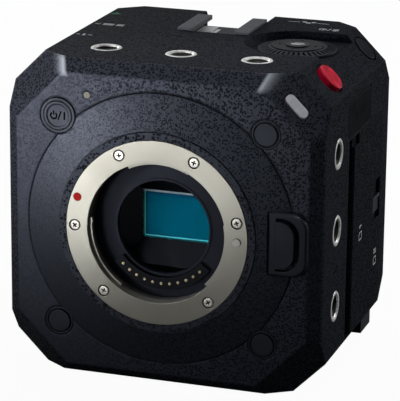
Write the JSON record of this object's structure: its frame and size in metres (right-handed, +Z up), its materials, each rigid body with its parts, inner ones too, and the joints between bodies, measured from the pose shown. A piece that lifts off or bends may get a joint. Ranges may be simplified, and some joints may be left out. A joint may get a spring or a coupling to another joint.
{
  "type": "box-style mirrorless camera",
  "caption": "Cube-shaped mirrorless camera body with an open lens bayonet, accessory shoe, control dial, threaded mounting points, card door and rear battery bay.",
  "frame": {"origin": "on the underside, below the middle of the housing", "axes": "+X right of a front view, -Y towards the lens, +Z up"},
  "size_m": [0.093, 0.079, 0.0938],
  "materials": {
    "shell_paint": "speckled crinkle",
    "collar_paint": "coarse crinkle",
    "cover_paint": "fine matte",
    "rear_plastic": "fine grain",
    "mount_metal": "lathe turned",
    "screw_steel": "satin",
    "pin_steel": "polished",
    "index_red": "gloss",
    "guard_plastic": "smooth",
    "release_plastic": "satin",
    "contact_plastic": "smooth",
    "contact_gold": "polished",
    "baffle_black": "matte",
    "sensor_window": "polished",
    "sensor_silicon": "polished",
    "board_green": "solder mask",
    "sink_aluminium": "extruded",
    "fan_plastic": "smooth",
    "frame_metal": "die cast",
    "bush_steel": "turned",
    "shoe_steel": "satin",
    "shoe_plastic": "smooth",
    "shoe_silver": "polished",
    "dial_metal": "black anodised",
    "pad_plastic": "satin",
    "record_red": "gloss",
    "key_plastic": "satin",
    "power_plastic": "satin",
    "led_glass": "clear",
    "cap_rubber": "smooth",
    "lamp_glass": "diffuse",
    "vent_plastic": "matte",
    "door_plastic": "fine grain",
    "lock_plastic": "satin",
    "bay_plastic": "smooth",
    "reader_steel": "plain",
    "flap_rubber": "matte",
    "jack_plastic": "smooth",
    "socket_steel": "plated",
    "bnc_nickel": "nickel plated",
    "battery_plastic": "fine grain",
    "mic_mesh": "mesh",
    "foot_rubber": "smooth"
  },
  "bodies": {
    "camera_body": {"front_shell": "shell_paint", "mount_panel": "shell_paint", "mount_collar": "collar_paint", "top_cover": "cover_paint", "left_cover": "cover_paint", "bottom_cover": "cover_paint", "right_cover": "cover_paint", "rear_cover": "rear_plastic", "lens_mount_ring": "mount_metal", "mount_screws": "screw_steel", "index_mark": "index_red", "release_guard": "guard_plastic", "contact_block": "contact_plastic", "contact_pins": "contact_gold", "battery_terminals": "contact_gold", "light_baffle": "baffle_black", "sensor_frame": "baffle_black", "sensor_glass": "sensor_window", "sensor_chip": "sensor_silicon", "sensor_board": "board_green", "main_board": "board_green", "port_board": "board_green", "heat_sink": "sink_aluminium", "fan_frame": "fan_plastic", "chassis": "frame_metal", "threaded_bushes": "bush_steel", "hot_shoe_rails": "shoe_steel", "shoe_base": "shoe_plastic", "shoe_contacts": "shoe_silver", "power_bezel": "power_plastic", "power_led": "led_glass", "screw_caps": "cap_rubber", "tally_lamp": "lamp_glass", "vent_grilles": "vent_plastic", "card_bay": "bay_plastic", "card_reader": "reader_steel", "audio_jacks": "jack_plastic", "port_sockets": "socket_steel", "bnc_sockets": "bnc_nickel", "battery_plate": "battery_plastic", "microphones": "mic_mesh", "rear_feet": "foot_rubber"},
    "dial": {"control_dial": "dial_metal"},
    "cursor_pad": {"cursor_pad": "pad_plastic"},
    "set_button": {"set_button": "pad_plastic"},
    "rec_button": {"rec_button": "record_red"},
    "playback_button": {"playback_button": "key_plastic"},
    "function_button": {"function_button": "key_plastic"},
    "quick_menu_button": {"quick_menu_button": "key_plastic"},
    "wireless_button": {"wireless_button": "key_plastic"},
    "power_button": {"power_button": "power_plastic"},
    "lens_release": {"lens_release_button": "release_plastic"},
    "lens_lock_pin": {"lens_lock_pin": "pin_steel"},
    "fan_rotor": {"cooling_fan": "fan_plastic"},
    "card_door": {"card_door": "door_plastic"},
    "door_lock": {"door_lock": "lock_plastic"},
    "jack_cover": {"jack_cover": "flap_rubber"},
    "upper_port_flap": {"upper_port_flap": "flap_rubber"},
    "lower_port_flap": {"lower_port_flap": "flap_rubber"},
    "battery_latch": {"battery_latch": "bay_plastic"}
  },
  "joints": [
    {"name": "dial_turn", "type": "hinge", "parent": "camera_body", "child": "dial", "pos_m": [0.0269, 0.0063, 0.0915], "axis": [0, 0, 1], "continuous": true},
    {"name": "cursor_press", "type": "slide", "parent": "camera_body", "child": "cursor_pad", "axis": [0, 0, -1], "range_m": [0, 0.00035], "stiffness_N_per_m": 2000},
    {"name": "set_press", "type": "slide", "parent": "camera_body", "child": "set_button", "axis": [0, 0, -1], "range_m": [0, 0.0003], "stiffness_N_per_m": 2000},
    {"name": "rec_press", "type": "slide", "parent": "camera_body", "child": "rec_button", "axis": [-0.7071, 0, -0.7071], "range_m": [0, 0.0007], "stiffness_N_per_m": 2000},
    {"name": "playback_press", "type": "slide", "parent": "camera_body", "child": "playback_button", "axis": [-0.7071, 0, -0.7071], "range_m": [0, 0.0005], "stiffness_N_per_m": 2000},
    {"name": "function_press", "type": "slide", "parent": "camera_body", "child": "function_button", "axis": [0.7071, 0, -0.7071], "range_m": [0, 0.0005], "stiffness_N_per_m": 2000},
    {"name": "quick_menu_press", "type": "slide", "parent": "camera_body", "child": "quick_menu_button", "axis": [0.7071, 0, -0.7071], "range_m": [0, 0.0005], "stiffness_N_per_m": 2000},
    {"name": "wireless_press", "type": "slide", "parent": "camera_body", "child": "wireless_button", "axis": [0.7071, 0, -0.7071], "range_m": [0, 0.0005], "stiffness_N_per_m": 2000},
    {"name": "power_press", "type": "slide", "parent": "camera_body", "child": "power_button", "axis": [0, 1, 0], "range_m": [0, 0.0006], "stiffness_N_per_m": 2000},
    {"name": "release_press", "type": "slide", "parent": "camera_body", "child": "lens_release", "axis": [0, 1, 0], "range_m": [0, 0.0015], "stiffness_N_per_m": 1500},
    {"name": "lock_pin_retract", "type": "slide", "parent": "camera_body", "child": "lens_lock_pin", "axis": [0, 1, 0], "range_m": [0, 0.0015], "stiffness_N_per_m": 800},
    {"name": "fan_spin", "type": "hinge", "parent": "camera_body", "child": "fan_rotor", "pos_m": [0, -0.0048, 0.0462], "axis": [0, 1, 0], "continuous": true},
    {"name": "card_door_swing", "type": "hinge", "parent": "camera_body", "child": "card_door", "pos_m": [0.04555, 0.00015, 0.039], "axis": [0, 0, -1], "range_deg": [0, 105]},
    {"name": "door_lock_slide", "type": "slide", "parent": "card_door", "child": "door_lock", "axis": [0, 0, 1], "range_m": [0, 0.0044]},
    {"name": "jack_cover_swing", "type": "hinge", "parent": "camera_body", "child": "jack_cover", "pos_m": [0.04555, 0.0037, 0.07955], "axis": [0, -1, 0], "range_deg": [0, 95]},
    {"name": "upper_flap_swing", "type": "hinge", "parent": "camera_body", "child": "upper_port_flap", "pos_m": [0.0319, 0.0385, 0.055], "axis": [0, 0, 1], "range_deg": [0, 100]},
    {"name": "lower_flap_swing", "type": "hinge", "parent": "camera_body", "child": "lower_port_flap", "pos_m": [0.0319, 0.0385, 0.0275], "axis": [0, 0, 1], "range_deg": [0, 100]},
    {"name": "battery_latch_slide", "type": "slide", "parent": "camera_body", "child": "battery_latch", "axis": [0, 0, -1], "range_m": [0, 0.003], "stiffness_N_per_m": 400}
  ],
  "couplings": [
    {"joint": "lock_pin_retract", "follows": "release_press", "ratio": 1}
  ]
}
